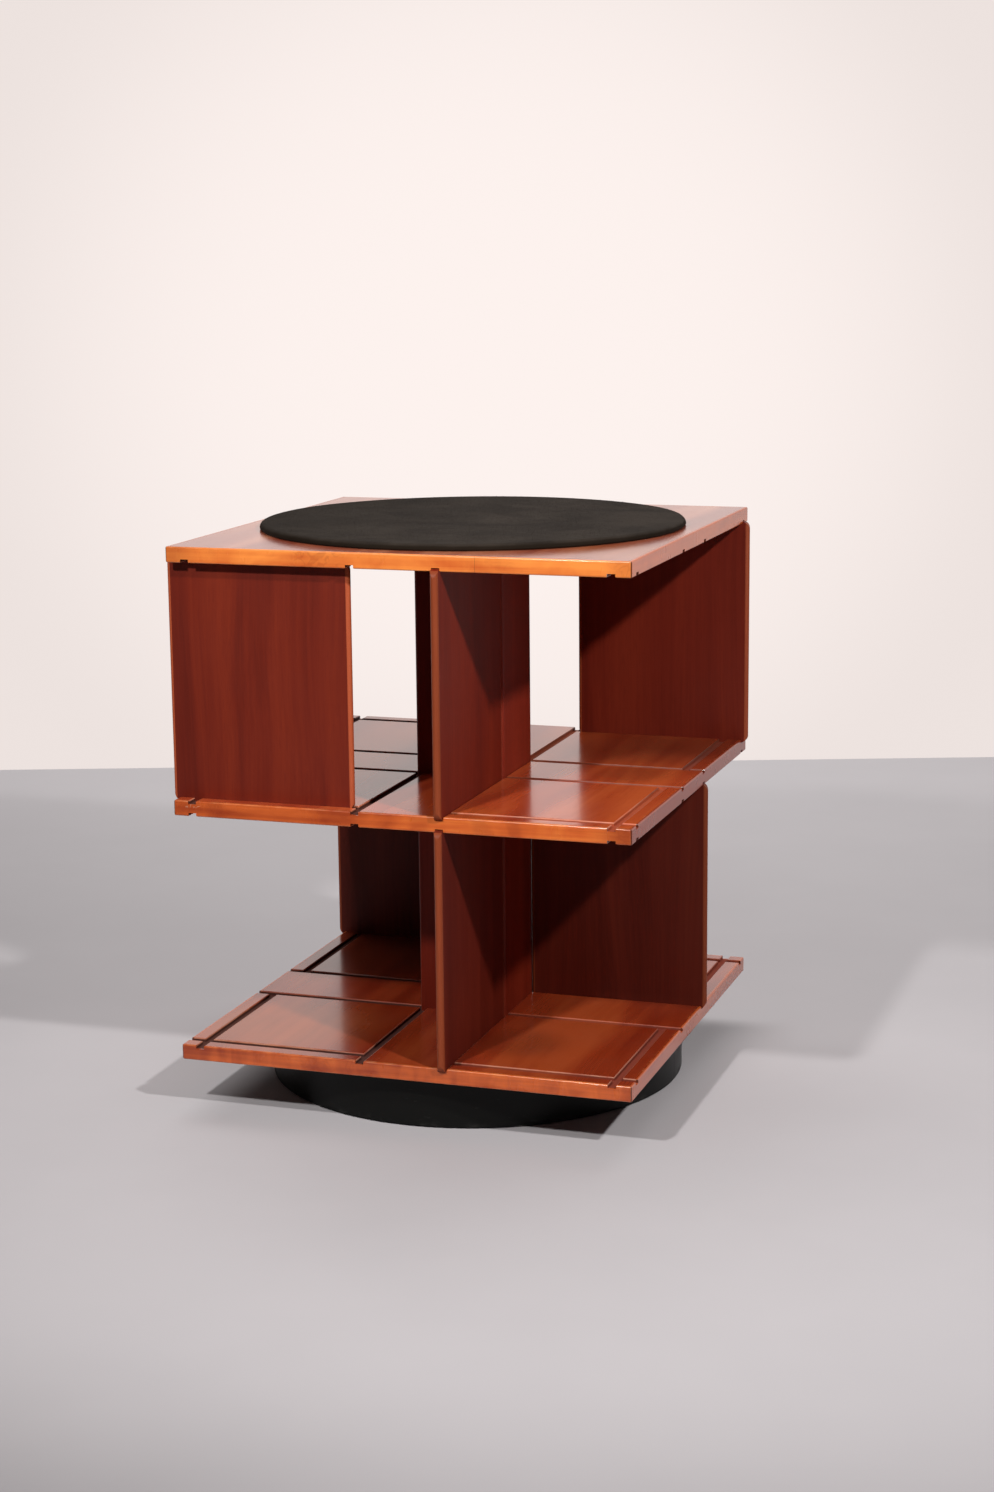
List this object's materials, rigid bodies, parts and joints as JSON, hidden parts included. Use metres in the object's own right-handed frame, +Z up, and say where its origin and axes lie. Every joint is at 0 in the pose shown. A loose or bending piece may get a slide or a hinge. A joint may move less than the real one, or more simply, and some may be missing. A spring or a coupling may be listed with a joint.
{
  "type": "revolving bookcase",
  "caption": "Square two-tier revolving bookcase: grooved wooden boards on a closed core, sliding dividers, a round black mat on top and a round black swivel plinth.",
  "frame": {"origin": "on the floor, on the swivel's axis", "axes": "+Z up along the swivel's axis, -Y towards the side seen in front in the picture, +X to that side's right"},
  "size_m": [0.618, 0.618, 0.74],
  "materials": {
    "veneer": "reddish-brown wood veneer, satin-gloss lacquer",
    "lipping": "lighter orange-brown solid wood, satin lacquer",
    "panel": "reddish-brown wood veneer with upright grain, satin lacquer",
    "felt": "black pressed felt, matt",
    "black_lacquer": "satin black lacquer on wood",
    "plywood": "raw plywood",
    "nylon": "off-white nylon",
    "steel": "zinc-plated steel"
  },
  "bodies": {
    "plinth": {"plinth_wall": "black_lacquer", "plinth_deck": "plywood", "glides": "nylon", "inner_race": "steel", "inner_race_screws": "steel"},
    "carousel": {"top_board": "veneer", "middle_board": "veneer", "bottom_board": "veneer", "top_lipping_front": "lipping", "top_lipping_right": "lipping", "top_lipping_rear": "lipping", "top_lipping_left": "lipping", "middle_lipping_front": "lipping", "middle_lipping_right": "lipping", "middle_lipping_rear": "lipping", "middle_lipping_left": "lipping", "bottom_lipping_front": "lipping", "bottom_lipping_right": "lipping", "bottom_lipping_rear": "lipping", "bottom_lipping_left": "lipping", "lower_core_front": "panel", "lower_core_right": "panel", "lower_core_rear": "panel", "lower_core_left": "panel", "upper_core_front": "panel", "upper_core_right": "panel", "upper_core_rear": "panel", "upper_core_left": "panel", "top_mat": "felt", "outer_race": "steel", "outer_race_screws": "steel", "tie_rod": "steel", "bottom_nut": "steel", "bottom_washer": "steel", "top_washer": "steel", "top_nut": "steel"},
    "ball_ring": {"ball_cage": "nylon", "balls": "steel"},
    "upper_divider_front_left_body": {"upper_divider_front_left": "panel"},
    "upper_divider_front_arm_body": {"upper_divider_front_arm": "panel"},
    "upper_divider_rear_right_body": {"upper_divider_rear_right": "panel"},
    "upper_divider_rear_arm_body": {"upper_divider_rear_arm": "panel"},
    "lower_divider_front_arm_body": {"lower_divider_front_arm": "panel"},
    "lower_divider_right_arm_body": {"lower_divider_right_arm": "panel"},
    "lower_divider_rear_left_body": {"lower_divider_rear_left": "panel"},
    "lower_divider_rear_arm_body": {"lower_divider_rear_arm": "panel"}
  },
  "joints": [
    {"name": "revolve", "type": "hinge", "parent": "plinth", "child": "carousel", "pos_m": [0, 0, 0.062], "axis": [0, 0, 1], "continuous": true},
    {"name": "ball_ring_turn", "type": "hinge", "parent": "plinth", "child": "ball_ring", "pos_m": [0, 0, 0.062], "axis": [0, 0, 1], "continuous": true},
    {"name": "upper_divider_front_left_slide", "type": "slide", "parent": "carousel", "child": "upper_divider_front_left_body", "axis": [-1, 0, 0], "range_m": [0, 0.2]},
    {"name": "upper_divider_front_arm_slide", "type": "slide", "parent": "carousel", "child": "upper_divider_front_arm_body", "axis": [0, -1, 0], "range_m": [0, 0.2]},
    {"name": "upper_divider_rear_right_slide", "type": "slide", "parent": "carousel", "child": "upper_divider_rear_right_body", "axis": [1, 0, 0], "range_m": [0, 0.2]},
    {"name": "upper_divider_rear_arm_slide", "type": "slide", "parent": "carousel", "child": "upper_divider_rear_arm_body", "axis": [0, 1, 0], "range_m": [0, 0.2]},
    {"name": "lower_divider_front_arm_slide", "type": "slide", "parent": "carousel", "child": "lower_divider_front_arm_body", "axis": [0, -1, 0], "range_m": [0, 0.2]},
    {"name": "lower_divider_right_arm_slide", "type": "slide", "parent": "carousel", "child": "lower_divider_right_arm_body", "axis": [1, 0, 0], "range_m": [0, 0.2]},
    {"name": "lower_divider_rear_left_slide", "type": "slide", "parent": "carousel", "child": "lower_divider_rear_left_body", "axis": [-1, 0, 0], "range_m": [0, 0.2]},
    {"name": "lower_divider_rear_arm_slide", "type": "slide", "parent": "carousel", "child": "lower_divider_rear_arm_body", "axis": [0, 1, 0], "range_m": [0, 0.2]}
  ],
  "couplings": [
    {"joint": "ball_ring_turn", "follows": "revolve", "ratio": 0.5}
  ]
}
